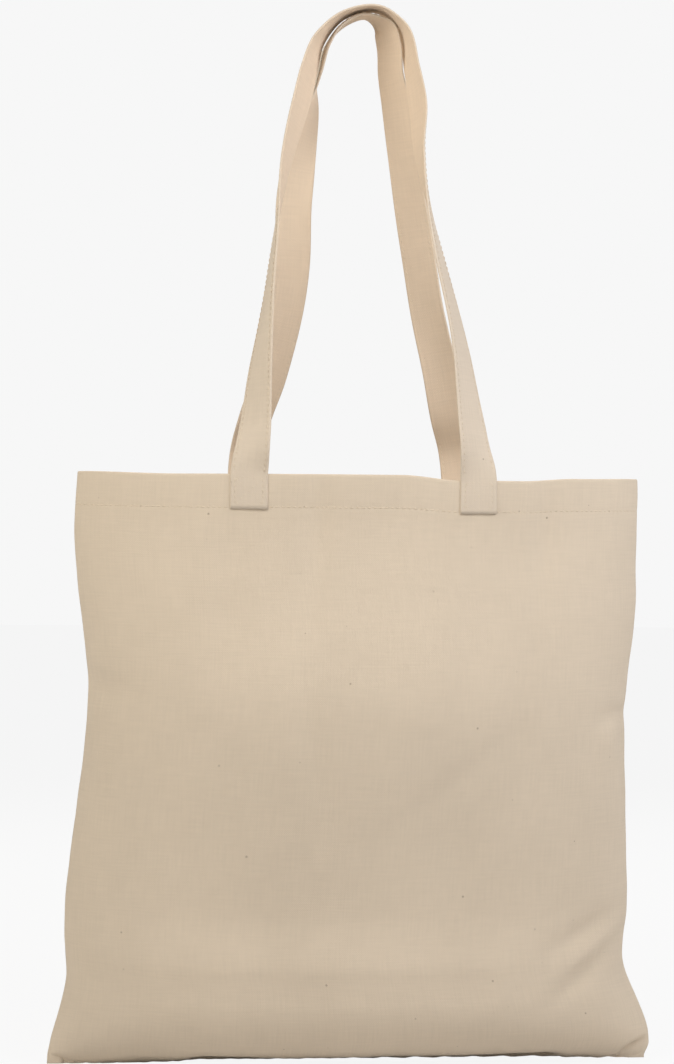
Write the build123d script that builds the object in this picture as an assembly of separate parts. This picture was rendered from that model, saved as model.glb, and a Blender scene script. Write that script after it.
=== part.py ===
"""Canvas tote bag, standing open with both straps up.

Two cotton panels are sewn together along the sides and the bottom. Each panel carries one strap,
whose two ends are box-stitched to the outside of the hem. Sizes in millimetres, Z up, front at -Y.
"""
import math
import os
from collections import namedtuple

from build123d import *

os.makedirs("parts", exist_ok=True)

# Cloth, as cut and sewn
FLAT_WIDTH = 380
CLOTH = 0.8
HEM_DEPTH = 22
HEM_ROW_ABOVE_EDGE = 2
SEAM_ALLOWANCE = 10

# Standing form: the panels meet in the plane y = 0
MOUTH_HEIGHT = 368
FLOOR_HALF_WIDTH = 190
FLOOR_HALF_DEPTH = 14
BOTTOM_ROUNDING = 55
CORNER_HEIGHT = 62

# Heights at which the side seam turns, with its distance from the middle
SIDE_OUTLINE = [
    (0, FLOOR_HALF_WIDTH),
    (CORNER_HEIGHT, 176.3),
    (90, 177),
    (225, 169.8),
    (335, 177.5),
    (MOUTH_HEIGHT, 176.5),
]

# How far the cross-section is drawn to a point at the seams
SEAM_PINCH = [(0, 60), (CORNER_HEIGHT, 40), (225, 30), (MOUTH_HEIGHT, 40)]

# Heights of the cross-sections, closer together where the bottom rounds off
SECTION_HEIGHTS = [0, 2, 6, 13, 22, 34, 47, CORNER_HEIGHT, 100, 140, 180, 225, 270, 310, 340, MOUTH_HEIGHT]

# Straps
STRAP_WIDTH = 23
STRAP_THICKNESS = 1.6
STRAP_HALF_SPACING = 70
STRAP_SECTIONS = 48
FOLD_GAP = 1.6

# Threads
STITCH_PITCH = 3.5
STITCH_LENGTH = 2.6
STITCH_RADIUS = 0.35
BOX_STITCH_INSET = 3
OVERLOCK_WIDTH = 3.5
OVERLOCK_THICKNESS = 0.4

HEM_BOTTOM = MOUTH_HEIGHT - HEM_DEPTH

Level = namedtuple("Level", "height half_width half_depth pinch")
Station = namedtuple("Station", "x y z turn")


def front_curve(half_width, half_depth, pinch):
    """Control points of one cross-section of the front panel, from the left seam to the right."""
    handle = half_depth * 4 / 3
    return (-half_width, 0), (-half_width + pinch, -handle), (half_width - pinch, -handle), (half_width, 0)


def eased(points, height):
    """Value at a height, running smoothly from each turning point to the next."""
    for (low, start), (high, end) in zip(points, points[1:]):
        if height <= high:
            share = (height - low) / (high - low)
            return start + (end - start) * share * share * (3 - 2 * share)


def sewn_depth(half_width, pinch):
    """Half depth at which the cloth between the seams keeps its flat width."""
    shallow, deep = 1, FLAT_WIDTH / 2
    while deep - shallow > 0.01:
        half_depth = (shallow + deep) / 2
        if Bezier(*front_curve(half_width, half_depth, pinch)).length < FLAT_WIDTH:
            shallow = half_depth
        else:
            deep = half_depth
    return half_depth


def level_at(height):
    """Cross-section at a height; below the corners the depth rounds off to the flat floor."""
    half_width = eased(SIDE_OUTLINE, height)
    pinch = eased(SEAM_PINCH, height)
    if height >= CORNER_HEIGHT:
        return Level(height, half_width, sewn_depth(half_width, pinch), pinch)
    full = sewn_depth(eased(SIDE_OUTLINE, CORNER_HEIGHT), eased(SEAM_PINCH, CORNER_HEIGHT))
    drop = max(0, 1 - height / BOTTOM_ROUNDING)
    half_depth = FLOOR_HALF_DEPTH + (full - FLOOR_HALF_DEPTH) * math.sqrt(1 - drop * drop)
    return Level(height, half_width, half_depth, pinch)


LEVELS = [level_at(height) for height in SECTION_HEIGHTS]


def front_half(inset=0, floor=0, top=MOUTH_HEIGHT):
    """Solid front half of the bag's form, drawn in by an inset."""
    heights = [floor] + [level.height for level in LEVELS[1:-1]] + [top]
    sections = []
    for level, height in zip(LEVELS, heights):
        curve = Bezier(*front_curve(level.half_width - inset, level.half_depth - inset, level.pinch))
        seam = Line(curve @ 1, curve @ 0)
        sections.append(Pos(0, 0, height) * make_face([curve, seam]))
    return loft(sections, ruled=True)


def slab(x_range, y_range, z_range):
    """Box between two limits on each axis."""
    size = [high - low for low, high in (x_range, y_range, z_range)]
    centre = [(high + low) / 2 for low, high in (x_range, y_range, z_range)]
    return Pos(*centre) * Box(*size)


def raw_edge_points(shift):
    """Right-hand raw edge of the seam allowance inside the bag, moved outward by a shift."""
    inset = CLOTH + SEAM_ALLOWANCE
    heights = [inset] + [height for height in SECTION_HEIGHTS if height > 2 * inset]
    return [(eased(SIDE_OUTLINE, height) - inset + shift, height) for height in heights]


def seam_frame():
    """Seam allowance of the front panel: a flat strip along both sides and the bottom."""
    right = Polyline(*raw_edge_points(0))
    left = mirror(right, about=Plane.YZ)
    window = make_face([right, left, Line(right @ 0, left @ 0), Line(right @ 1, left @ 1)])
    reach = FLOOR_HALF_WIDTH + SEAM_ALLOWANCE
    plate = slab((-reach, reach), (-CLOTH, 0), (-1, MOUTH_HEIGHT))
    return plate - extrude(Plane.XZ * window, amount=CLOTH)


def front_panel():
    """Cloth wall and half floor, with the turned-in hem and the seam allowance."""
    reach = FLOOR_HALF_WIDTH + SEAM_ALLOWANCE
    over = MOUTH_HEIGHT + 1
    single = front_half(CLOTH, CLOTH, over) & slab((-reach, reach), (-reach, reach), (0, HEM_BOTTOM))
    double = front_half(2 * CLOTH, CLOTH, over) & slab((-reach, reach), (-reach, reach), (HEM_BOTTOM, over))
    hollow = single + double - seam_frame()
    return front_half() - hollow


def strap_end(side):
    """Sewn end of the front strap, lying on the outside of the hem."""
    centre = side * STRAP_HALF_SPACING
    patch = slab(
        (centre - STRAP_WIDTH / 2, centre + STRAP_WIDTH / 2),
        (-FLAT_WIDTH / 2, -FLOOR_HALF_DEPTH / 2),
        (HEM_BOTTOM, MOUTH_HEIGHT),
    )
    return (front_half(-STRAP_THICKNESS) & patch) - front_half()


def point_on(skin, x, z):
    """Point of a front surface and the surface's outward normal there."""
    point, normal = skin.find_intersection_points(Axis((x, 0, z), (0, -1, 0)))[-1]
    if normal.Y > 0:
        normal = -normal
    return point, normal


def stitch(centre, along, normal):
    """One visible stitch: a three-sided bar whose flat side is sunk in the cloth."""
    bar = extrude(RegularPolygon(STITCH_RADIUS, 3), STITCH_LENGTH / 2, both=True)
    return Plane(centre, x_dir=normal, z_dir=along) * bar


def stitch_row(start, end, normal, even=False):
    """Straight row of stitches between two points."""
    along = end - start
    count = round(along.length / STITCH_PITCH)
    if even:
        count = 2 * round(count / 2)
    return [stitch(start + along * ((i + 0.5) / count), along, normal) for i in range(count)]


def hem_stitching(skin):
    """Row of stitches round the front hem, which stops at the strap ends."""
    height = HEM_BOTTOM + HEM_ROW_ABOVE_EDGE
    row = section(front_half(), Plane.XY, height).edges().sort_by(Axis.Y)[0]
    count = round(row.length / STITCH_PITCH)
    stitches = []
    for i in range(1, count):
        centre = row @ (i / count)
        beside_strap = abs(abs(centre.X) - STRAP_HALF_SPACING) > (STRAP_WIDTH + STITCH_PITCH) / 2
        if beside_strap:
            point, normal = point_on(skin, centre.X, centre.Z)
            stitches.append(stitch(point, row % (i / count), normal))
    return Compound(stitches)


def box_stitching(side):
    """Square and cross of stitches through one strap end."""
    cover = front_half(-STRAP_THICKNESS).shell()
    middle = (MOUTH_HEIGHT + HEM_BOTTOM) / 2
    origin, normal = point_on(cover, side * STRAP_HALF_SPACING, middle)
    plane = Plane(origin, x_dir=Vector(0, 0, 1).cross(normal), z_dir=normal)
    half_wide = STRAP_WIDTH / 2 - BOX_STITCH_INSET
    half_tall = HEM_DEPTH / 2 - BOX_STITCH_INSET
    corners = [(-1, -1), (1, -1), (1, 1), (-1, 1)]
    a, b, c, d = [plane.from_local_coords(Vector(u * half_wide, v * half_tall)) for u, v in corners]
    stitches = []
    for start, end in ((a, b), (b, c), (c, d), (d, a)):
        stitches += stitch_row(start, end, normal)
    for start, end in ((a, c), (b, d)):
        trim = (end - start).normalized() * STITCH_PITCH
        stitches += stitch_row(start + trim, end - trim, normal, even=True)
    return Compound(stitches)


def ribbon(stations):
    """Strap cloth along a smooth line through stations, turning evenly from each station to the next."""
    points = [Vector(station.x, station.y, station.z) for station in stations]
    path = Spline(*points, tangents=[(0, 0, 1), (0, 0, -1)])
    shares = [path.param_at_point(point) for point in points]
    sections = []
    for i in range(STRAP_SECTIONS + 1):
        share = i / STRAP_SECTIONS
        k = max(1, sum(start < share for start in shares[:-1]))
        between = (share - shares[k - 1]) / (shares[k] - shares[k - 1])
        turn = math.radians(stations[k - 1].turn + (stations[k].turn - stations[k - 1].turn) * between)
        across = Vector(math.cos(turn), math.sin(turn), 0)
        plane = Plane(path @ share, x_dir=across, z_dir=path % share)
        sections.append(plane * Rectangle(STRAP_WIDTH, STRAP_THICKNESS))
    return loft(sections, ruled=True)


def arch(right_leg):
    """Whole strap from its right leg, which ends at the top; the left leg mirrors the right one."""
    left_leg = [Station(-s.x, s.y, s.z, 180 - s.turn) for s in right_leg[:-1]]
    return right_leg + left_leg[::-1]


def strap_foot(cover):
    """Where the free strap starts, just above a sewn end, and how far its face is turned there."""
    point, normal = point_on(cover, STRAP_HALF_SPACING, MOUTH_HEIGHT - 0.5)
    middle = point - normal * (STRAP_THICKNESS / 2)
    turn = math.degrees(math.atan2(normal.X, -normal.Y))
    return Station(STRAP_HALF_SPACING, middle.Y, MOUTH_HEIGHT + FOLD_GAP, turn)


def front_strap(foot):
    """Free loop of the front strap: it turns edge-on low down and passes over the top outside the other."""
    return ribbon(arch([
        foot,
        Station(66.8, -42, 398, 38),
        Station(62.8, -37.4, 430, 52),
        Station(55, -30, 480, 68),
        Station(45, -22, 535, 83),
        Station(39.5, -15, 583, 99),
        Station(36.8, -10, 620, 105),
        Station(29, -6, 644, 103),
        Station(15, -4.4, 656.5, 95),
        Station(0, -4, 659.5, 90),
    ]))


def back_strap(foot):
    """Free loop of the back strap: it keeps facing the front for longer and turns near the top."""
    return ribbon(arch([
        Station(foot.x, -foot.y, foot.z, -foot.turn),
        Station(63.5, 41.5, 404, -14),
        Station(54.5, 36.8, 436, -17),
        Station(45.5, 30, 482, -22),
        Station(38.5, 22.5, 533, -24),
        Station(33, 16, 577, -36),
        Station(26.4, 12.6, 604, -50),
        Station(22.8, 9.6, 625, -60),
        Station(18.5, 6.4, 643, -72),
        Station(9, 4.6, 652, -84),
        Station(0, 4, 654.4, -90),
    ]))


def side_overlock(side):
    """Thread sleeve over the two raw edges of a side seam, inside the bag."""
    reach = CLOTH + OVERLOCK_THICKNESS
    feet = []
    for shift in (-OVERLOCK_THICKNESS, 0, OVERLOCK_WIDTH):
        feet.append(Polyline(*raw_edge_points(shift)))
    outside, raw_edge, inside = feet
    sleeve = make_face([outside, inside, Line(outside @ 0, inside @ 0), Line(outside @ 1, inside @ 1)])
    cloth = make_face([raw_edge, inside, Line(raw_edge @ 0, inside @ 0), Line(raw_edge @ 1, inside @ 1)])
    body = extrude(Plane.XZ * sleeve, amount=reach, both=True)
    body = body - extrude(Plane.XZ * cloth, amount=CLOTH, both=True)
    above_bottom = CLOTH + SEAM_ALLOWANCE + OVERLOCK_WIDTH
    body = body & slab((0, FLAT_WIDTH), (-FLAT_WIDTH, FLAT_WIDTH), (above_bottom, HEM_BOTTOM))
    return body if side > 0 else mirror(body, about=Plane.YZ)


def bottom_overlock():
    """Thread sleeve over the two raw edges of the bottom seam, inside the bag."""
    reach = CLOTH + OVERLOCK_THICKNESS
    half_length = raw_edge_points(0)[0][0] - OVERLOCK_WIDTH
    edge = CLOTH + SEAM_ALLOWANCE
    length = (-half_length, half_length)
    sleeve = slab(length, (-reach, reach), (edge - OVERLOCK_WIDTH, edge + OVERLOCK_THICKNESS))
    cloth = slab(length, (-CLOTH, CLOTH), (edge - OVERLOCK_WIDTH, edge))
    return sleeve - cloth


def to_back(shape):
    """The back of the bag mirrors its front."""
    return mirror(shape, about=Plane.XZ)


skin = front_half().shell()
cover = front_half(-STRAP_THICKNESS).shell()
foot = strap_foot(cover)
panel = front_panel()
hem_row = hem_stitching(skin)

nodes = {
    "front_panel": panel,
    "back_panel": to_back(panel),
    "front_hem_stitching": hem_row,
    "back_hem_stitching": to_back(hem_row),
    "left_seam_overlock": side_overlock(-1),
    "right_seam_overlock": side_overlock(1),
    "bottom_seam_overlock": bottom_overlock(),
    "front_strap": front_strap(foot),
    "back_strap": back_strap(foot),
}
for name, side in (("left", -1), ("right", 1)):
    end = strap_end(side)
    box = box_stitching(side)
    nodes[f"front_{name}_strap_end"] = end
    nodes[f"back_{name}_strap_end"] = to_back(end)
    nodes[f"front_{name}_box_stitching"] = box
    nodes[f"back_{name}_box_stitching"] = to_back(box)

for name, shape in nodes.items():
    export_step(shape, f"parts/{name}.step")
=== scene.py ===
"""Looks of the canvas tote bag: sewn cotton panels, twisted straps, stitching and overlocked seams.

Lengths are in millimetres where no comment says metres, and meshes are scaled to metres when they are
made. A back piece is shaped as a front one and then mirrored.
"""
import math
from collections import namedtuple

import bpy
import numpy as np
from mathutils import Matrix, Vector


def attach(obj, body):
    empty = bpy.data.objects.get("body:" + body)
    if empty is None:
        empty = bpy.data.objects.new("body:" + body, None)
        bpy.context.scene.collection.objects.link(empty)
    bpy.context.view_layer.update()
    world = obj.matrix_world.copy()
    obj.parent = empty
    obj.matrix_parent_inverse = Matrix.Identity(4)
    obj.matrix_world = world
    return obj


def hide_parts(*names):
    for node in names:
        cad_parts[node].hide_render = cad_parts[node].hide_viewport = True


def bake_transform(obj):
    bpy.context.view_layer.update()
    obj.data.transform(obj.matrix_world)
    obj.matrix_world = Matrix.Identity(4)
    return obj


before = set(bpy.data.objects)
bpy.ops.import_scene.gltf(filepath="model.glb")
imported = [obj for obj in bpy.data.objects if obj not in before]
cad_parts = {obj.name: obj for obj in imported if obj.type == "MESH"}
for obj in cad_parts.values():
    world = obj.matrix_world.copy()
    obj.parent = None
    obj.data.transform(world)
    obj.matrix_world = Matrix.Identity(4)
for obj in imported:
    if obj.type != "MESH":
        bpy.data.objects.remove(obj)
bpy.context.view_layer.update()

MM = 0.001

Fold = namedtuple("Fold", "x z lean length width depth")
Station = namedtuple("Station", "x depth z turn tilt", defaults=[0])
Ribbon = namedtuple("Ribbon", "points across normal run")
Wave = namedtuple("Wave", "height length reach", defaults=[None])
Lamp = namedtuple("Lamp", "name place power colour")

# Cloth, as cut and sewn
FLAT_WIDTH = 380
CLOTH = 0.8
HEM_DEPTH = 22
HEM_ROW = 20
SEAM_ALLOWANCE = 10

# Standing form: the panels meet in the plane y = 0
MOUTH_HEIGHT = 368
CORNER_HEIGHT = 62
SEAM_HEIGHT = 1.0
BOTTOM_SLOPE = 0.26
BOTTOM_ROUNDNESS = 3.0
LEFT_SEAM = [(0, -191), (59, -179), (84, -180.4), (233, -166.8), (333, -176), (368, -174.3)]
RIGHT_SEAM = [(0, 187.5), (11, 191), (69, 173), (100, 175.6), (215, 173), (297, 180), (368, 180.5)]
SEAM_PINCH = [(0, 60), (CORNER_HEIGHT, 40), (225, 30), (MOUTH_HEIGHT, 40)]

# How far the mouth and the bottom stand above their even heights, from left to right
MOUTH_EDGE = [(-180, 2.0), (-110, 0), (25, 0), (60, -3), (100, -3), (135, -1), (185, 0)]
MOUTH_EDGE_REACH = 45
BOTTOM_EDGE = [
    (-190, 0),
    (-135, 0),
    (-108, 0.6),
    (-90, 4.8),
    (-40, 1.6),
    (60, 2.4),
    (124, 3.6),
    (136, 0.6),
    (190, 0),
]

# How far up the cloth follows the lifted bottom edge; the back rolls under its seam
FRONT_EDGE_REACH = 22
BACK_EDGE_REACH = 1.5

# Sampling of the standing form
SOLVE_SAMPLES = 121
SOLVE_ROUNDS = 20
BOTTOM_SAMPLES = 60
SKIN_SAMPLES = 241

# Grid of a panel: fine rows down to just below the hem, and fine columns beside the side seams
HEM_STEP = 1.2
FINE_REACH_BELOW_HEM = 8
FIRST_ROW_STEP = 1.6
PANEL_ROWS = 158
SEAM_COLUMNS = np.array([0, 0.6, 1.4, 2.6, 4.2])
SEAM_MARGIN = 6
PANEL_COLUMNS = 148
HEM_FOLD_POINTS = 7

# Columns of that grid which have the bottom allowance, and its binding
ALLOWANCE_COLUMNS = slice(10, -10)
BINDING_COLUMNS = slice(12, -12)

# Relief of the cloth: folds fade out near the seams and the hem; waves have a height, length and reach
CHANCE_FOLDS = 70
CHANCE_FOLD_FADE = 14
FOLD_FADE = 5
HEM_FOLD_SHARE = 0.35
HEM_FADE = 30
GROOVE_DEPTH = 0.15
GROOVE_WIDTH = 1.3
HEM_PUCKER = Wave(0.12, 9, 5)
SIDE_PUCKER = Wave(0.25, 45, 9)
BOTTOM_PUCKER = Wave(0.4, 14, 8)
ALLOWANCE_WAVE = Wave(0.25, 22)
ALLOWANCE_GAP = 0.1
ALLOWANCE_REACH = np.linspace(0.4, SEAM_ALLOWANCE, 5)
SEAM_DIP = 1.3
SEAM_DIP_REACH = 1.1
HEM_SLACK = 0.2
RIPPLE_SINES = 5
RIPPLE_STRETCH = (0.6, 1.9)
RIPPLE_SCALE = 2.2

# Folds, placed after the photograph on the front and by guess on the back; a negative depth is a dent
FRONT_FOLDS = [
    Fold(-26, 335, 88, 45, 9, -1.8),
    Fold(114, 328, 86, 42, 9, -1.8),
    Fold(60, 300, 60, 90, 45, 2.5),
    Fold(146, 62, 38, 26, 6, -3.5),
    Fold(146, 88, 27, 26, 6, -2.5),
    Fold(150, 76, 33, 30, 6, 2.0),
    Fold(166, 220, 10, 14, 6, -3.0),
    Fold(160, 205, 80, 16, 7, 2.0),
    Fold(-158, 236, -10, 18, 10, -2.5),
    Fold(179, 9, 30, 10, 2.4, -4.5),
    Fold(-180, 4, -8, 9, 2.2, -1.5),
]
BACK_FOLDS = [
    Fold(40, 320, 86, 50, 10, -2.0),
    Fold(-95, 322, 92, 45, 9, -1.8),
    Fold(-140, 70, -36, 30, 7, -3.0),
    Fold(150, 70, 36, 28, 6, -2.5),
    Fold(-30, 180, 70, 80, 40, 2.0),
    Fold(165, 222, 0, 16, 8, -2.5),
    Fold(-160, 235, 0, 18, 10, -2.5),
]

# Straps: the sewn ends and where they lie on the hem, and the section
STRAP_WIDTH = 23
STRAP_THICKNESS = 1.6
STRAP_STEP = 2.5
LEFT_END = -67.8
RIGHT_END = 71.8
END_DROPS = (HEM_DEPTH, HEM_DEPTH * 0.65, HEM_DEPTH * 0.3, HEM_STEP)
END_SINK = 0.8
EDGE_PLACES = np.array([0, 0.15, 0.5, 1.0])
EDGE_MARGIN = 1.6
INNER_PLACES = 15
EDGE_RADIUS = 1.2
ROW_DENT = 0.2
ROW_DENT_WIDTH = 0.9

# Cupping and wavering of a strap, which grow from nothing near its sewn ends
STRAP_RAMP_START = 24
STRAP_RAMP = 60
STRAP_CUP = 0.7
CUP_BALANCE = 0.4
CUP_WAVE = Wave(0.4, 150)
WAVER = Wave(0.25, 60)

# Free straps from the left end over the top to the right. Depth is from the middle plane, angles are in
# degrees, and a left leg's turn is counted the other way round, so that both legs read alike.
FRONT_LEFT_LEG = [
    Station(-65.9, 46.5, 384, 26),
    Station(-63.8, 41.6, 402, 39),
    Station(-61.9, 37.6, 428, 53),
    Station(-56.8, 30.8, 475, 77),
    Station(-51.8, 24.4, 518, 88),
    Station(-44.5, 17.0, 569, 110),
    Station(-37.2, 12.9, 598, 119),
    Station(-31.4, 9.4, 622, 117),
    Station(-24.6, 6.7, 641, 108, 1),
    Station(-8.0, 4.8, 657.4, 97, 3),
]
FRONT_TOP = Station(13, 4.0, 660.9, 91, 3)
FRONT_RIGHT_LEG = [
    Station(26.2, 5.2, 650.5, 99, 2),
    Station(33.7, 9.3, 622, 107),
    Station(36.9, 12.6, 600, 112),
    Station(37.9, 16.8, 571, 99),
    Station(43.6, 22.3, 533, 81),
    Station(51.7, 27.8, 495, 69),
    Station(59.9, 33.3, 458, 62),
    Station(67.6, 41.4, 404, 41),
    Station(69.8, 46.5, 384, 31),
]
BACK_LEFT_LEG = [
    Station(-66.6, 46.5, 386, 17),
    Station(-62.0, 41.2, 406, 21),
    Station(-52.6, 36.7, 434, 17),
    Station(-44.6, 32.5, 463, 18),
    Station(-39.6, 27.0, 501, 13),
    Station(-38.2, 20.2, 547, 5),
    Station(-34.8, 16.1, 575, 31),
    Station(-27.6, 13.2, 602, 72),
    Station(-24.7, 9.6, 622, 97),
    Station(-19.1, 6.9, 640, 97),
    Station(-10.6, 5.2, 651.8, 92, -4),
]
BACK_TOP = Station(6, 4.0, 658.6, 88, -6)
BACK_RIGHT_LEG = [
    Station(16.4, 5.2, 652.8, 60, -5),
    Station(20.4, 6.6, 641, 54),
    Station(21.6, 10.0, 624, 53),
    Station(25.8, 12.3, 604, 43),
    Station(30.1, 15.9, 577, 41),
    Station(39.0, 24.0, 525, 27),
    Station(47.1, 29.6, 483, 26),
    Station(57.7, 36.7, 436, 15),
    Station(64.3, 41.2, 406, 14),
    Station(69.6, 46.5, 386, 17),
]

# Threads
STITCH_PITCH = 3.5
STITCH_LENGTH = 2.6
STITCH_RADIUS = 0.27
EDGE_ROW_INSET = 2.2
EDGE_ROW_START = 3
BOX_STITCH_INSET = 3
THREAD_SIDES = 6

# Rings of a stitch: place along it, share of the radius, and lift in radii
STITCH_RINGS = [(-0.5, 0.3, -0.9), (-0.4, 0.85, -0.1), (0, 1, 0.25), (0.4, 0.85, -0.1), (0.5, 0.3, -0.9)]

# Overlock: the points of one pitch have their reach from the raw edge and the face they lie on
OVERLOCK_WIDTH = 4
OVERLOCK_PITCH = 2.4
OVERLOCK_RADIUS = 0.28
OVERLOCK_LIFT = 0.35
OVERLOCK_REACH = [-0.5, 0.2, OVERLOCK_WIDTH, OVERLOCK_WIDTH, 0.2, -0.5]
OVERLOCK_FACE = [-0.5, -1.0, -1.0, 1.0, 1.0, 0.5]

# Materials, in linear colour. Yarn pitch and fleck cell are in metres, fleck size is in fleck cells,
# and slubs and mottling are in cells per metre across and down the flat cloth.
CANVAS_COLOUR = (0.69, 0.58, 0.45)
STRAP_COLOUR = (0.688, 0.583, 0.463)
# Strap inner face: a warmer, tanner colour that is painted warm bounce light and shade, not a different cloth
STRAP_INNER_BOUNCE_LIGHT_COLOUR = (0.75, 0.607, 0.46)
FLECK_COLOUR = (0.16, 0.10, 0.05)
THREAD_COLOUR = (0.70, 0.59, 0.455)
OVERLOCK_COLOUR = (0.76, 0.68, 0.56)
YARN_PITCH = 0.0006
FLECK_CELL = 0.026
FLECK_SIZE = 0.03
FLECKED_SHARE = 0.4
FLECK_STRENGTH = 0.45
WARP_SLUBS = (900, 45)
WEFT_SLUBS = (50, 900)
MOTTLE_CELLS = (16, 13)
SLUB_TONE = 0.10
MOTTLE_TONE = 0.13
WEAVE_TONE = 0.015
WEAVE_HEIGHT = 0.35
INNER_FACE_MARGIN = 0.5
THREAD_GRAIN = 2200.0
THREAD_TONE = 0.3

# Camera, fitted to the photograph, for an image of 674 by 1064 pixels
CAMERA_TARGET = (-11.1, 0, 332.9)
CAMERA_DISTANCE = 1300
CAMERA_AZIMUTH = -4.02
CAMERA_ROLL = 0.42
CAMERA_LENS = 70.0
SENSOR = 36

# Studio: levels are linear, lengths are in metres, and lamps are in watts
AMBIENT = 0.2
BACKDROP = 0.93
FLOOR_COLOUR = 0.85
FLOOR_HALF_SIZE = 6
FLOOR_SHADOW = 0.06
FLOOR_GLOW = 0.96
LAMP_TARGET = (0, 0, 0.35)
LAMP_SIZE = 0.6
LAMPS = [
    Lamp("left lamp", (-0.6, -0.5, 0.85), 5.4, (1.0, 0.96, 0.88)),
    Lamp("right lamp", (0.6, -0.5, 0.85), 6.1, (0.96, 0.965, 1.0)),
    Lamp("back lamp", (0.1, 0.95, 0.9), 8.0, (1.0, 0.97, 0.93)),
]


def eased(points, places):
    """Values at places, running smoothly from each turning point to the next."""
    knots, values = np.array(points, float).T
    spot = np.clip(np.searchsorted(knots, places) - 1, 0, len(knots) - 2)
    share = np.clip((places - knots[spot]) / (knots[spot + 1] - knots[spot]), 0, 1)
    share = share * share * (3 - 2 * share)
    return values[spot] + (values[spot + 1] - values[spot]) * share


def running_length(points):
    """Distance travelled along a line of points, from zero."""
    steps = np.linalg.norm(np.diff(points, axis=0), axis=1)
    return np.concatenate([[0], np.cumsum(steps)])


def along_line(places, run, line):
    """Points of a line, or directions kept along it, at distances run."""
    return np.stack([np.interp(places, run, line[:, axis]) for axis in range(3)], axis=-1)


def unit(vectors):
    """Vectors at length one."""
    return vectors / np.linalg.norm(vectors, axis=-1, keepdims=True)


def section_points(heights, depths, shares):
    """Cross-sections of the front at curve shares, one row for each height."""
    left = eased(LEFT_SEAM, heights)[:, None]
    right = eased(RIGHT_SEAM, heights)[:, None]
    pinch = eased(SEAM_PINCH, heights)[:, None]
    t = shares[None, :]
    x = left * (1 - t) ** 3 + 3 * (left + pinch) * (1 - t) ** 2 * t
    x = x + 3 * (right - pinch) * (1 - t) * t**2 + right * t**3
    y = -4 * depths[:, None] * t * (1 - t)
    z = np.broadcast_to(heights[:, None], x.shape)
    return np.stack([x, y, z], axis=-1)


def sewn_depth(heights):
    """Half depths at which the cloth between the seams keeps its flat width."""
    shares = np.linspace(0, 1, SOLVE_SAMPLES)
    shallow = np.full(len(heights), 1.0)
    deep = np.full(len(heights), FLAT_WIDTH / 2)
    for _ in range(SOLVE_ROUNDS):
        middle = (shallow + deep) / 2
        steps = np.diff(section_points(heights, middle, shares), axis=1)
        short = np.linalg.norm(steps, axis=2).sum(axis=1) < FLAT_WIDTH
        shallow = np.where(short, middle, shallow)
        deep = np.where(short, deep, middle)
    return (shallow + deep) / 2


def middle_profile():
    """Half depths and heights down the middle of a panel, from the mouth to the bottom seam."""
    wall_heights = np.arange(MOUTH_HEIGHT, CORNER_HEIGHT, -1.0)
    wall = np.column_stack([sewn_depth(wall_heights), wall_heights])
    full = sewn_depth(np.array([CORNER_HEIGHT]))[0]
    share = np.linspace(1, 0, BOTTOM_SAMPLES)
    dish = 1 - (1 - share**BOTTOM_ROUNDNESS) ** (1 / BOTTOM_ROUNDNESS)
    slope = BOTTOM_SLOPE * full
    heights = SEAM_HEIGHT + slope * share + (CORNER_HEIGHT - SEAM_HEIGHT - slope) * dish
    return np.vstack([wall, np.column_stack([full * share, heights])])


PROFILE = middle_profile()
PROFILE_RUN = running_length(PROFILE)
FLAT_HEIGHT = PROFILE_RUN[-1]


def surface_rows(drops, columns):
    """Smooth outer skin of the front: one row of evenly spread points for each drop from the mouth."""
    depths = np.interp(drops, PROFILE_RUN, PROFILE[:, 0])
    heights = np.interp(drops, PROFILE_RUN, PROFILE[:, 1])
    rows = []
    for row in section_points(heights, depths, np.linspace(0, 1, SKIN_SAMPLES)):
        run = running_length(row)
        rows.append(along_line(columns * run[-1], run, row))
    return np.array(rows)


def normals_of(points):
    """Unit normals of a grid of points whose rows run down and whose columns run right."""
    down, right = np.gradient(points, axis=(0, 1))
    return unit(np.cross(down, right))


def soft_folds(points, folds):
    """Swell of the cloth at each point from a list of folds; a negative depth is a dent."""
    swell = np.zeros(points.shape[:2])
    for fold in folds:
        dx = points[..., 0] - fold.x
        dz = points[..., 2] - fold.z
        lean = math.radians(fold.lean)
        along = (dx * math.cos(lean) + dz * math.sin(lean)) / fold.length
        across = (dz * math.cos(lean) - dx * math.sin(lean)) / fold.width
        swell += fold.depth * np.exp(-along**2 - across**2)
    return swell


def chance_folds(seed):
    """Shallow folds scattered over a panel, mostly upright as hanging cotton has them."""
    rng = np.random.default_rng(seed)
    folds = []
    for _ in range(CHANCE_FOLDS):
        folds.append(Fold(
            x=rng.uniform(-165, 165),
            z=rng.uniform(20, 350),
            lean=rng.normal(80, 35),
            length=rng.uniform(18, 60),
            width=rng.uniform(7, 18),
            depth=rng.normal(0, 0.6),
        ))
    return folds


def ripple(distance, wavelength, seed):
    """Uneven wave along a line, about one unit high: a sum of sines."""
    rng = np.random.default_rng(seed)
    wave = np.zeros(np.shape(distance))
    for _ in range(RIPPLE_SINES):
        stretch = wavelength * rng.uniform(*RIPPLE_STRETCH)
        wave += np.sin(2 * math.pi * (distance / stretch + rng.uniform()))
    return wave / RIPPLE_SCALE


def panel_columns():
    """Shares of the flat width, closer together near the seams."""
    inner = np.linspace(SEAM_MARGIN, FLAT_WIDTH - SEAM_MARGIN, PANEL_COLUMNS)
    return np.concatenate([SEAM_COLUMNS, inner, FLAT_WIDTH - SEAM_COLUMNS[::-1]]) / FLAT_WIDTH


def panel_drops():
    """Distances down the cloth from the mouth, closer together at the hem."""
    hem = np.arange(HEM_STEP, HEM_DEPTH + FINE_REACH_BELOW_HEM, HEM_STEP)
    return np.concatenate([hem, np.linspace(hem[-1] + FIRST_ROW_STEP, FLAT_HEIGHT, PANEL_ROWS)])


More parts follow.
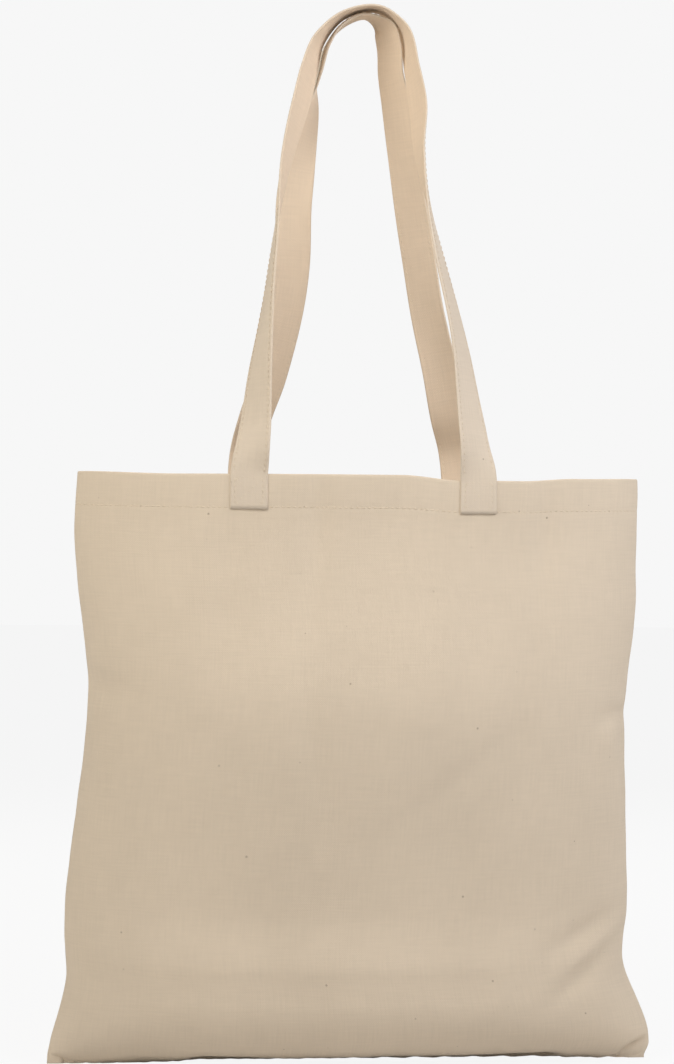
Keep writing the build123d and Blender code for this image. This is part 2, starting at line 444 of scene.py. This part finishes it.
COLUMNS = panel_columns()
DROPS = panel_drops()
FROM_LEFT = COLUMNS * FLAT_WIDTH
FROM_SEAM = np.minimum(FROM_LEFT, FLAT_WIDTH - FROM_LEFT)
FROM_BOTTOM = FLAT_HEIGHT - DROPS


def panel_swell(points, folds, seed):
    """How far the cloth stands off the smooth skin: folds, hem groove and seam puckers."""
    drop = DROPS[:, None]
    inside = np.clip(FROM_SEAM / CHANCE_FOLD_FADE, 0, 1)[None, :]
    inside = inside * np.clip(FROM_BOTTOM / CHANCE_FOLD_FADE, 0, 1)[:, None]
    below_hem = HEM_FOLD_SHARE + (1 - HEM_FOLD_SHARE) * np.clip((drop - HEM_DEPTH) / HEM_FADE, 0, 1)
    swell = soft_folds(points, folds) * np.clip(FROM_SEAM / FOLD_FADE, 0, 1)[None, :]
    swell += soft_folds(points, chance_folds(seed)) * inside * below_hem
    groove = np.exp(-(((drop - HEM_ROW) / GROOVE_WIDTH) ** 2))
    near_row = np.exp(-np.abs(drop - HEM_ROW) / HEM_PUCKER.reach)
    row_wave = ripple(FROM_LEFT, HEM_PUCKER.length, seed + 1)[None, :]
    swell += HEM_PUCKER.height * near_row * row_wave - GROOVE_DEPTH * groove
    near_seam = np.exp(-FROM_SEAM / SIDE_PUCKER.reach)[None, :]
    side_wave = ripple(DROPS, SIDE_PUCKER.length, seed + 2)[:, None]
    swell += SIDE_PUCKER.height * near_seam * side_wave
    near_bottom = np.exp(-FROM_BOTTOM / BOTTOM_PUCKER.reach)[:, None]
    bottom_wave = ripple(FROM_LEFT, BOTTOM_PUCKER.length, seed + 3)[None, :]
    swell += BOTTOM_PUCKER.height * near_bottom * bottom_wave
    return swell


def seam_dip():
    """How far the last few millimetres beside each side seam are drawn in, where the cloth turns under."""
    dip = SEAM_DIP * np.exp(-((FROM_SEAM / SEAM_DIP_REACH) ** 2))
    return np.where(FROM_LEFT < FLAT_WIDTH / 2, dip, -dip)


def panel_skin(folds, seed, edge_reach):
    """Outer skin of a panel seen as a front, and its normals."""
    points = surface_rows(DROPS, COLUMNS)
    points = points + normals_of(points) * panel_swell(points, folds, seed)[..., None]
    points[..., 0] += seam_dip()[None, :]
    across = points[..., 0]
    points[..., 2] += eased(MOUTH_EDGE, across) * np.exp(-DROPS / MOUTH_EDGE_REACH)[:, None]
    points[..., 2] += eased(BOTTOM_EDGE, across) * np.exp(-((FROM_BOTTOM / edge_reach) ** 2))[:, None]
    points[..., 1] = np.minimum(points[..., 1], 0)
    points[..., 2] = np.maximum(points[..., 2], CLOTH / 2)
    return points, normals_of(points)


def hem_rows(points, normals):
    """The hem over the mouth: the ply that is turned in, then a round fold."""
    fold_radius = CLOTH + HEM_SLACK
    rows = []
    for angle in np.linspace(0, math.pi, HEM_FOLD_POINTS)[1:]:
        rise = np.array([0, 0, fold_radius * math.sin(angle)])
        rows.append(points[0] + rise - normals[0] * fold_radius * (1 - math.cos(angle)))
    turned = int(np.searchsorted(DROPS, HEM_DEPTH))
    ply = points[1:turned] - normals[1:turned] * 2 * fold_radius
    return np.concatenate([ply[::-1], rows[::-1]])


def allowance_grids(points):
    """Seam allowance inside the bag: a strip along each side seam and one along the bottom."""
    reach = ALLOWANCE_REACH
    wave = ALLOWANCE_WAVE.height * ripple(DROPS, ALLOWANCE_WAVE.length, seed=31)[:, None]
    wave = wave * (reach / SEAM_ALLOWANCE)[None, :]
    grids = []
    for column, inward in ((0, 1), (-1, -1)):
        strip = np.repeat(points[:, column, None, :], len(reach), axis=1)
        strip[..., 0] += inward * reach[None, :]
        strip[..., 1] = -ALLOWANCE_GAP - np.abs(wave)
        flat = np.stack(np.meshgrid(reach, DROPS), axis=-1)
        grids.append((strip[:, ::-inward], flat[:, ::-inward]))
    strip = np.repeat(points[-1, None, ALLOWANCE_COLUMNS], len(reach), axis=0)
    strip[..., 2] += reach[:, None]
    strip[..., 1] = -ALLOWANCE_GAP
    flat = np.stack(np.meshgrid(FROM_LEFT[ALLOWANCE_COLUMNS], reach), axis=-1)
    grids.append((strip[::-1], flat[::-1]))
    return grids


def grid_faces(rows, columns, start):
    """Quads of a grid of points that are stored row by row."""
    index = np.arange(rows * columns).reshape(rows, columns) + start
    corners = [index[:-1, :-1], index[1:, :-1], index[1:, 1:], index[:-1, 1:]]
    return np.stack(corners, axis=-1).reshape(-1, 4)


def tube_faces(rows, around):
    """Quads of a closed band of points that are stored ring by ring."""
    index = np.arange(rows * around).reshape(rows, around)
    beside = np.roll(index, -1, axis=1)
    corners = [index[:-1], beside[:-1], beside[1:], index[1:]]
    return np.stack(corners, axis=-1).reshape(-1, 4).tolist()


def add_object(name, vertices, faces, material, to_back=False, flat=None):
    """Smooth mesh object in metres; a back piece is mirrored, and cloth keeps its flat coordinates."""
    vertices = np.asarray(vertices) * MM
    if to_back:
        vertices = vertices * np.array([1, -1, 1])
        faces = [face[::-1] for face in faces]
    mesh = bpy.data.meshes.new(name)
    mesh.from_pydata(vertices.tolist(), [], faces)
    mesh.polygons.foreach_set("use_smooth", [True] * len(mesh.polygons))
    if flat is not None:
        corner = np.empty(len(mesh.loops), np.int32)
        mesh.loops.foreach_get("vertex_index", corner)
        layer = mesh.uv_layers.new(name="cloth")
        layer.data.foreach_set("uv", (np.asarray(flat)[corner] * MM).astype(np.float32).ravel())
    mesh.materials.append(material)
    mesh.update()
    piece = bpy.data.objects.new(name, mesh)
    bpy.context.scene.collection.objects.link(piece)
    return piece


def add_panel(name, skin, to_back, material):
    """One panel: wall, rounded bottom, hem and seam allowance in a single sewn sheet."""
    points, normals = skin
    hem = hem_rows(points, normals)
    drops = np.concatenate([-np.arange(len(hem), 0, -1) * HEM_STEP, DROPS])
    wall_flat = np.stack(np.meshgrid(FROM_LEFT, drops), axis=-1)
    vertices, faces, flats = [], [], []
    start = 0
    for grid, flat in [(np.concatenate([hem, points]), wall_flat), *allowance_grids(points)]:
        rows, columns = grid.shape[:2]
        faces += grid_faces(rows, columns, start).tolist()
        vertices.append(grid.reshape(-1, 3))
        flats.append(flat.reshape(-1, 2))
        start += rows * columns
    panel = add_object(name, np.concatenate(vertices), faces, material, to_back, np.concatenate(flats))
    thickness = panel.modifiers.new("cloth thickness", "SOLIDIFY")
    thickness.thickness = CLOTH * MM
    thickness.offset = -1
    return panel


def on_skin(skin, x, drop):
    """Point of a panel's skin and its normal, at a distance across and a drop from the mouth."""
    points, normals = skin
    row = int(np.argmin(np.abs(DROPS - drop)))
    across = points[row][:, 0]
    return along_line(x, across, points[row]), unit(along_line(x, across, normals[row]))


def stitches(name, centres, along, normals, to_back, material):
    """Thread stitches: rounded bars that dive into the cloth at both ends."""
    along = unit(along)
    side = np.cross(normals, along)
    angles = np.linspace(0, 2 * math.pi, THREAD_SIDES, endpoint=False)
    vertices = []
    for reach, swell, lift in STITCH_RINGS:
        for angle in angles:
            out = STITCH_RADIUS * (lift + swell * math.sin(angle))
            wide = STITCH_RADIUS * swell * math.cos(angle)
            vertices.append(centres + along * reach * STITCH_LENGTH + normals * out + side * wide)
    vertices = np.stack(vertices, axis=1)
    pattern = tube_faces(len(STITCH_RINGS), THREAD_SIDES)
    faces = []
    for stitch in range(len(centres)):
        start = stitch * len(STITCH_RINGS) * THREAD_SIDES
        faces += [[start + corner for corner in face] for face in pattern]
    return add_object(name, vertices.reshape(-1, 3), faces, material, to_back)


def hem_stitching(name, skin, to_back, material):
    """Row of stitches round a hem, which stops at the strap ends."""
    points, normals = skin
    row = int(np.argmin(np.abs(DROPS - HEM_ROW)))
    run = running_length(points[row])
    places = np.arange(STITCH_PITCH, run[-1] - STITCH_PITCH, STITCH_PITCH)
    centres = along_line(places, run, points[row])
    ahead = along_line(places + 1, run, points[row])
    outward = unit(along_line(places, run, normals[row]))
    clear = (STRAP_WIDTH + STITCH_PITCH) / 2
    keep = np.abs(centres[:, 0] - LEFT_END) > clear
    keep &= np.abs(centres[:, 0] - RIGHT_END) > clear
    return stitches(name, centres[keep], (ahead - centres)[keep], outward[keep], to_back, material)


def end_stations(skin, x):
    """Stations of a strap where it lies on the hem, from its sewn end up to the mouth."""
    stations = []
    for drop in END_DROPS:
        point, normal = on_skin(skin, x, drop)
        middle = point + normal * (STRAP_THICKNESS / 2 - END_SINK)
        turn = math.degrees(math.atan2(normal[0], -normal[1]))
        stations.append(Station(middle[0], -middle[1], middle[2], turn))
    return stations


def smooth_through(stations):
    """Evenly spaced values on a smooth line through stations."""
    stations = np.array(stations, float)
    knots = running_length(stations[:, :3])
    slopes = np.gradient(stations, knots, axis=0)
    places = np.linspace(0, knots[-1], int(knots[-1] / STRAP_STEP))
    spot = np.clip(np.searchsorted(knots, places) - 1, 0, len(knots) - 2)
    gap = (knots[spot + 1] - knots[spot])[:, None]
    t = (places - knots[spot])[:, None] / gap
    start, end = stations[spot], stations[spot + 1]
    leave, arrive = slopes[spot] * gap, slopes[spot + 1] * gap
    curve = start * (2 * t**3 - 3 * t**2 + 1) + leave * (t**3 - 2 * t**2 + t)
    return curve + end * (3 * t**2 - 2 * t**3) + arrive * (t**3 - t**2)


def strap_ribbon(skin, left_leg, top, right_leg):
    """Strap centreline with its width direction and the normal of its outer face."""
    left = [s._replace(turn=180 - s.turn) for s in left_leg]
    left_end = [s._replace(turn=180 + s.turn) for s in end_stations(skin, LEFT_END)]
    right_end = end_stations(skin, RIGHT_END)[::-1]
    line = smooth_through(left_end + left + [top] + right_leg + right_end)
    points = line[:, :3] * np.array([1, -1, 1])
    turn, tilt = np.radians(line[:, 3:]).T
    across = np.stack([np.cos(turn) * np.cos(tilt), np.sin(turn) * np.cos(tilt), np.sin(tilt)], axis=1)
    forward = unit(np.gradient(points, axis=0))
    across = unit(across - forward * np.sum(forward * across, axis=1, keepdims=True))
    return Ribbon(points, across, np.cross(forward, across), running_length(points))


def strap_section():
    """Half thickness across a strap: round at the folded edges, drawn in along the stitch rows."""
    half = STRAP_WIDTH / 2
    inner = np.linspace(EDGE_MARGIN - half, half - EDGE_MARGIN, INNER_PLACES)
    places = np.concatenate([EDGE_PLACES - half, inner, half - EDGE_PLACES[::-1]])
    inset = half - np.abs(places)
    rounding = np.clip(1 - inset / EDGE_RADIUS, 0, 1)
    thickness = STRAP_THICKNESS / 2 * np.sqrt(1 - rounding**2)
    dent = ROW_DENT * np.exp(-(((inset - EDGE_ROW_INSET) / ROW_DENT_WIDTH) ** 2))
    return places, thickness - dent * (inset > 0)


def add_strap(name, ribbon, to_back, seed, material):
    """A whole strap from one sewn end to the other, as a closed band of doubled cloth."""
    places, thickness = strap_section()
    length = ribbon.run[-1]
    from_end = np.minimum(ribbon.run, length - ribbon.run)
    free = np.clip((from_end - STRAP_RAMP_START) / STRAP_RAMP, 0, 1)
    cup = free * (STRAP_CUP + CUP_WAVE.height * ripple(ribbon.run, CUP_WAVE.length, seed))
    waver = free * WAVER.height * ripple(ribbon.run, WAVER.length, seed + 1)
    under = places[-2:0:-1]
    around = np.concatenate([places, under])
    height = np.concatenate([thickness, -thickness[-2:0:-1]])
    bow = (around / (STRAP_WIDTH / 2)) ** 2 - CUP_BALANCE
    across = around[None, :] + waver[:, None]
    out = height[None, :] - cup[:, None] * bow[None, :]
    vertices = ribbon.points[:, None] + ribbon.across[:, None] * across[..., None]
    vertices = vertices + ribbon.normal[:, None] * out[..., None]
    width_run = np.concatenate([places + STRAP_WIDTH / 2, STRAP_WIDTH * 3 / 2 - under])
    flat = np.stack(np.meshgrid(width_run, ribbon.run), axis=-1)
    rings, corners = len(ribbon.run), len(around)
    faces = tube_faces(rings, corners)
    faces.append(list(range(corners))[::-1])
    faces.append(list(range((rings - 1) * corners, rings * corners)))
    return add_object(name, vertices.reshape(-1, 3), faces, material, to_back, flat.reshape(-1, 2))


def on_ribbon(ribbon, places, across, face):
    """Points, width directions and normals on a face of a strap; 1 is the outer face, -1 the inner."""
    points, side, normal = (along_line(places, ribbon.run, part) for part in ribbon[:3])
    points = points + side * across[:, None] + normal * face * (STRAP_THICKNESS / 2 - ROW_DENT)
    return points, side, normal * face


def edge_stitching(name, ribbon, to_back, material):
    """Rows of stitches along both edges of a strap, on both faces."""
    start = HEM_DEPTH + EDGE_ROW_START
    places = np.arange(start, ribbon.run[-1] - start, STITCH_PITCH)
    forward = along_line(places, ribbon.run, np.gradient(ribbon.points, axis=0))
    rows = []
    for face in (1, -1):
        for edge in (-1, 1):
            across = np.full(len(places), edge * (STRAP_WIDTH / 2 - EDGE_ROW_INSET))
            points, _, out = on_ribbon(ribbon, places, across, face)
            rows.append((points, forward, out))
    centres, along, normals = (np.concatenate(part) for part in zip(*rows))
    return stitches(name, centres, along, normals, to_back, material)


def box_rows():
    """Stitches of a square and its cross: places from the strap end's middle, and directions."""
    wide = STRAP_WIDTH / 2 - BOX_STITCH_INSET
    tall = HEM_DEPTH / 2 - BOX_STITCH_INSET
    a, b, c, d = np.array([(-wide, -tall), (wide, -tall), (wide, tall), (-wide, tall)])
    places = []
    directions = []
    for start, end in ((a, b), (b, c), (c, d), (d, a), (a, c), (b, d)):
        count = round(np.linalg.norm(end - start) / STITCH_PITCH)
        for i in range(count):
            places.append(start + (end - start) * (i + 0.5) / count)
            directions.append(end - start)
    return np.array(places), np.array(directions)


def box_stitching(name, ribbon, middle, to_back, material):
    """Square and cross of stitches through the sewn strap end whose middle is at a distance run."""
    places, directions = box_rows()
    points, side, out = on_ribbon(ribbon, middle + places[:, 1], places[:, 0], 1)
    forward = np.cross(side, out)
    along = directions[:, :1] * side + directions[:, 1:] * forward
    return stitches(name, points, along, out, to_back, material)


def overlock(name, edge, inward, material):
    """Overlock thread over a raw edge: slanted bars on both faces, joined round the edge."""
    phases = len(OVERLOCK_REACH)
    run = running_length(edge)
    cycle = np.arange(int(run[-1] / OVERLOCK_PITCH) * phases + 1)
    reach = np.choose(cycle % phases, OVERLOCK_REACH)
    face = np.choose(cycle % phases, OVERLOCK_FACE)
    points = along_line(cycle / phases * OVERLOCK_PITCH, run, edge) + np.array(inward) * reach[:, None]
    points[:, 1] = face * (CLOTH + OVERLOCK_LIFT)
    forward = unit(np.gradient(points, axis=0))
    mostly_deep = np.abs(forward[:, 1:2]) >= 0.9
    helper = np.where(mostly_deep, [[1.0, 0, 0]], [[0.0, 1, 0]])
    side = unit(np.cross(forward, helper))
    angles = np.linspace(0, 2 * math.pi, THREAD_SIDES, endpoint=False)[None, :, None]
    ring = side[:, None] * np.cos(angles) + np.cross(side, forward)[:, None] * np.sin(angles)
    vertices = points[:, None] + ring * OVERLOCK_RADIUS
    return add_object(name, vertices.reshape(-1, 3), tube_faces(len(points), THREAD_SIDES), material)


def add(tree, kind, inputs=None, **settings):
    """Shader node with its settings; an input that is a socket is linked, any other is set."""
    node = tree.nodes.new(kind)
    for key, value in settings.items():
        setattr(node, key, value)
    for key, value in (inputs or {}).items():
        if isinstance(value, bpy.types.NodeSocket):
            tree.links.new(value, node.inputs[key])
        else:
            node.inputs[key].default_value = value
    return node


def math_node(tree, operation, first, second=0.0):
    """Result of a mathematical node."""
    return add(tree, "ShaderNodeMath", {0: first, 1: second}, operation=operation).outputs[0]


def mixed(tree, share, first, second):
    """Mix of two colours; the second is a plain colour."""
    return add(tree, "ShaderNodeMixRGB", {0: share, 1: first, 2: (*second, 1)}).outputs[0]


def new_material(name):
    """Empty node material and its surface shader."""
    material = bpy.data.materials.new(name)
    material.use_nodes = True
    tree = material.node_tree
    tree.nodes.clear()
    output = tree.nodes.new("ShaderNodeOutputMaterial")
    shader = tree.nodes.new("ShaderNodeBsdfPrincipled")
    tree.links.new(shader.outputs[0], output.inputs["Surface"])
    return material, tree, shader


def cloth_noise(tree, flat, stretch, detail=2.0):
    """Noise over the flat cloth about zero, with a number of cells per metre each way."""
    place = add(tree, "ShaderNodeVectorMath", {0: flat, 1: (*stretch, 1)}, operation="MULTIPLY").outputs[0]
    noise = add(tree, "ShaderNodeTexNoise", {"Vector": place, "Scale": 1.0, "Detail": detail})
    return math_node(tree, "SUBTRACT", noise.outputs["Fac"], 0.5)


def plain_weave(tree, flat):
    """Over-and-under of the yarns, from -1 to 1."""
    axes = add(tree, "ShaderNodeSeparateXYZ", {0: flat}).outputs
    turns = math.pi / YARN_PITCH
    warp = math_node(tree, "SINE", math_node(tree, "MULTIPLY", axes[0], turns))
    weft = math_node(tree, "SINE", math_node(tree, "MULTIPLY", axes[1], turns))
    return math_node(tree, "MULTIPLY", warp, weft)


def seed_flecks(tree, flat):
    """Sparse brown specks of seed left in the yarn, of different sizes."""
    places = {"Vector": flat, "Scale": 1 / FLECK_CELL}
    cells = add(tree, "ShaderNodeTexVoronoi", places, voronoi_dimensions="2D").outputs
    chance = add(tree, "ShaderNodeSeparateColor", {0: cells["Color"]}).outputs
    size = math_node(tree, "MULTIPLY", math_node(tree, "POWER", chance[1], 2.0), FLECK_SIZE)
    close = math_node(tree, "LESS_THAN", cells["Distance"], size)
    chosen = math_node(tree, "GREATER_THAN", chance[0], 1 - FLECKED_SHARE)
    return math_node(tree, "MULTIPLY", math_node(tree, "MULTIPLY", chosen, close), FLECK_STRENGTH)


def canvas(name, colour, inner_bounce_light_colour):
    """Undyed cotton canvas: plain weave, uneven yarn, mottling and flecks; a strap's inner face is tanner,
    which is painted warm bounce light and shade.
    """
    material, tree, shader = new_material(name)
    flat = add(tree, "ShaderNodeUVMap", uv_map="cloth").outputs[0]
    weave = plain_weave(tree, flat)
    slubs = math_node(tree, "ADD", cloth_noise(tree, flat, WARP_SLUBS), cloth_noise(tree, flat, WEFT_SLUBS))
    mottle = cloth_noise(tree, flat, MOTTLE_CELLS, detail=3.0)
    tone = math_node(tree, "ADD", math_node(tree, "MULTIPLY", slubs, SLUB_TONE), 1.0)
    tone = math_node(tree, "ADD", tone, math_node(tree, "MULTIPLY", mottle, MOTTLE_TONE))
    tone = math_node(tree, "ADD", tone, math_node(tree, "MULTIPLY", weave, WEAVE_TONE))
    base = colour
    # Painted warm bounce light and shade: the strap's inner face takes the warmer, tanner colour
    if inner_bounce_light_colour:
        across = add(tree, "ShaderNodeSeparateXYZ", {0: flat}).outputs[0]
        inner = math_node(tree, "GREATER_THAN", across, (STRAP_WIDTH + INNER_FACE_MARGIN) * MM)
        base = mixed(tree, inner, (*colour, 1), inner_bounce_light_colour)
    tinted = add(tree, "ShaderNodeVectorMath", {0: base, "Scale": tone}, operation="SCALE").outputs[0]
    flecked = mixed(tree, seed_flecks(tree, flat), tinted, FLECK_COLOUR)
    tree.links.new(flecked, shader.inputs["Base Color"])
    height = math_node(tree, "ADD", math_node(tree, "MULTIPLY", weave, WEAVE_HEIGHT), slubs)
    bump = add(tree, "ShaderNodeBump", {"Strength": 0.25, "Distance": 0.0003, "Height": height})
    tree.links.new(bump.outputs[0], shader.inputs["Normal"])
    shader.inputs["Roughness"].default_value = 0.92
    shader.inputs["Sheen Weight"].default_value = 0.1
    shader.inputs["Specular IOR Level"].default_value = 0.15
    return material


def thread(name, colour):
    """Spun cotton thread: fine twist and uneven tone."""
    material, tree, shader = new_material(name)
    place = add(tree, "ShaderNodeTexCoord").outputs["Object"]
    noise = add(tree, "ShaderNodeTexNoise", {"Vector": place, "Scale": THREAD_GRAIN, "Detail": 2.0})
    grain = noise.outputs["Fac"]
    tone = math_node(tree, "ADD", math_node(tree, "MULTIPLY", grain, THREAD_TONE), 1 - THREAD_TONE / 2)
    tinted = add(tree, "ShaderNodeVectorMath", {0: colour, "Scale": tone}, operation="SCALE")
    tree.links.new(tinted.outputs[0], shader.inputs["Base Color"])
    bump = add(tree, "ShaderNodeBump", {"Strength": 0.4, "Distance": 0.0001, "Height": grain})
    tree.links.new(bump.outputs[0], shader.inputs["Normal"])
    shader.inputs["Roughness"].default_value = 0.8
    shader.inputs["Specular IOR Level"].default_value = 0.2
    return material


def settle(piece, slot, *nodes):
    """Fixes a piece to the bag in place of its solids."""
    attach(piece, "bag")
    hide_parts(*nodes)


def sew_panel(side, skin, to_back, cloth, row_thread):
    """A panel with its row of hem stitches."""
    panel = add_panel(f"{side}_panel_cloth", skin, to_back, cloth)
    settle(panel, "canvas", f"{side}_panel")
    hem_row = hem_stitching(f"{side}_hem_thread", skin, to_back, row_thread)
    settle(hem_row, "sewing_thread", f"{side}_hem_stitching")


def sew_strap(side, ribbon, to_back, cloth, row_thread, seed):
    """A strap with its edge stitching and the box stitching through both ends."""
    strap = add_strap(f"{side}_strap_cloth", ribbon, to_back, seed, cloth)
    rows = edge_stitching(f"{side}_strap_edge_thread", ribbon, to_back, row_thread)
    for piece, slot in ((strap, "strap_cloth"), (rows, "sewing_thread")):
        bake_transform(piece)
    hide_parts(f"{side}_strap", f"{side}_left_strap_end", f"{side}_right_strap_end")
    length = ribbon.run[-1]
    for end, middle in (("left", HEM_DEPTH / 2), ("right", length - HEM_DEPTH / 2)):
        box = box_stitching(f"{side}_{end}_box_thread", ribbon, middle, to_back, row_thread)
        settle(box, "sewing_thread", f"{side}_{end}_box_stitching")


def bind_seams(points, binding):
    """Overlock thread along the raw edges of the side and bottom seams."""
    for side, column, inward in (("left", 0, 1), ("right", -1, -1)):
        seam = points[::-1, column]
        seam = seam[(seam[:, 2] > SEAM_ALLOWANCE + OVERLOCK_WIDTH) & (seam[:, 2] < MOUTH_HEIGHT - HEM_DEPTH)]
        edge = seam * np.array([1, 0, 1]) + np.array([inward * SEAM_ALLOWANCE, 0, 0])
        piece = overlock(f"{side}_seam_thread", edge, (-inward, 0, 0), binding)
        settle(piece, "overlock_thread", f"{side}_seam_overlock")
    edge = points[-1, BINDING_COLUMNS] * np.array([1, 0, 1]) + np.array([0, 0, SEAM_ALLOWANCE])
    piece = overlock("bottom_seam_thread", edge, (0, 0, -1), binding)
    settle(piece, "overlock_thread", "bottom_seam_overlock")


def add_camera():
    """Camera at the photograph's viewing angle."""
    azimuth = math.radians(CAMERA_AZIMUTH)
    roll = math.radians(CAMERA_ROLL)
    back = Vector((math.sin(azimuth), -math.cos(azimuth), 0))
    right = Vector((math.cos(azimuth), math.sin(azimuth), 0))
    up = Vector((0, 0, 1))
    x_axis = right * math.cos(roll) + up * math.sin(roll)
    y_axis = up * math.cos(roll) - right * math.sin(roll)
    data = bpy.data.cameras.new("camera")
    data.sensor_fit = "VERTICAL"
    data.sensor_height = SENSOR
    data.lens = CAMERA_LENS
    camera = bpy.data.objects.new("camera", data)
    bpy.context.scene.collection.objects.link(camera)
    turn = Matrix((x_axis, y_axis, back)).transposed().to_4x4()
    place = (Vector(CAMERA_TARGET) + back * CAMERA_DISTANCE) * MM
    camera.matrix_world = Matrix.Translation(place) @ turn
    bpy.context.scene.camera = camera


def add_lamp(lamp):
    """Soft square studio lamp that points at the bag's middle."""
    data = bpy.data.lights.new(lamp.name, "AREA")
    data.size = LAMP_SIZE
    data.energy = lamp.power
    data.color = lamp.colour
    light = bpy.data.objects.new(lamp.name, data)
    bpy.context.scene.collection.objects.link(light)
    light.location = lamp.place
    aim = Vector(LAMP_TARGET) - Vector(lamp.place)
    light.rotation_euler = aim.to_track_quat("-Z", "Y").to_euler()


def seen_directly(tree):
    """One for rays that show the surroundings themselves, zero for rays that only light the bag."""
    path = tree.nodes.new("ShaderNodeLightPath").outputs
    seen = math_node(tree, "MAXIMUM", path["Is Camera Ray"], path["Is Glossy Ray"])
    return math_node(tree, "MAXIMUM", seen, path["Is Transmission Ray"])


def add_world():
    """Even ambient light, with a paler backdrop where the camera sees past the bag."""
    world = bpy.data.worlds.new("studio")
    bpy.context.scene.world = world
    world.use_nodes = True
    tree = world.node_tree
    tree.nodes.clear()
    soft = add(tree, "ShaderNodeBackground", {"Color": (AMBIENT, AMBIENT, AMBIENT, 1)})
    pale = add(tree, "ShaderNodeBackground", {"Color": (BACKDROP, BACKDROP, BACKDROP, 1)})
    mix = add(tree, "ShaderNodeMixShader", {0: seen_directly(tree), 1: soft.outputs[0], 2: pale.outputs[0]})
    output = tree.nodes.new("ShaderNodeOutputWorld")
    tree.links.new(mix.outputs[0], output.inputs["Surface"])


def add_floor():
    """Plain floor that looks as pale as the backdrop and keeps a soft shadow."""
    material, tree, shader = new_material("floor")
    shader.inputs["Base Color"].default_value = (FLOOR_COLOUR, FLOOR_COLOUR, FLOOR_COLOUR, 1)
    shader.inputs["Roughness"].default_value = 0.95
    shader.inputs["Specular IOR Level"].default_value = 0.0
    glow = add(tree, "ShaderNodeEmission", {"Color": (FLOOR_GLOW, FLOOR_GLOW, FLOOR_GLOW, 1)})
    share = math_node(tree, "MULTIPLY", seen_directly(tree), 1 - FLOOR_SHADOW)
    mix = add(tree, "ShaderNodeMixShader", {0: share, 1: shader.outputs[0], 2: glow.outputs[0]})
    output = next(node for node in tree.nodes if node.type == "OUTPUT_MATERIAL")
    tree.links.new(mix.outputs[0], output.inputs["Surface"])
    corners = [(x * FLOOR_HALF_SIZE, y * FLOOR_HALF_SIZE, 0) for x, y in ((-1, -1), (1, -1), (1, 1), (-1, 1))]
    mesh = bpy.data.meshes.new("floor")
    mesh.from_pydata(corners, [], [(0, 1, 2, 3)])
    mesh.materials.append(material)
    floor = bpy.data.objects.new("floor", mesh)
    bpy.context.scene.collection.objects.link(floor)


canvas_cloth = canvas("canvas", CANVAS_COLOUR, None)
strap_cloth = canvas("strap cloth", STRAP_COLOUR, STRAP_INNER_BOUNCE_LIGHT_COLOUR)
sewing_thread = thread("sewing thread", THREAD_COLOUR)
overlock_thread = thread("overlock thread", OVERLOCK_COLOUR)

front_skin = panel_skin(FRONT_FOLDS, seed=11, edge_reach=FRONT_EDGE_REACH)
back_skin = panel_skin(BACK_FOLDS, seed=23, edge_reach=BACK_EDGE_REACH)
front_ribbon = strap_ribbon(front_skin, FRONT_LEFT_LEG, FRONT_TOP, FRONT_RIGHT_LEG)
back_ribbon = strap_ribbon(back_skin, BACK_LEFT_LEG, BACK_TOP, BACK_RIGHT_LEG)

sew_panel("front", front_skin, False, canvas_cloth, sewing_thread)
sew_panel("back", back_skin, True, canvas_cloth, sewing_thread)
sew_strap("front", front_ribbon, False, strap_cloth, sewing_thread, seed=41)
sew_strap("back", back_ribbon, True, strap_cloth, sewing_thread, seed=47)
bind_seams(front_skin[0], overlock_thread)

add_camera()
add_floor()
add_world()
for lamp in LAMPS:
    add_lamp(lamp)
bpy.context.scene.view_settings.view_transform = "Standard"
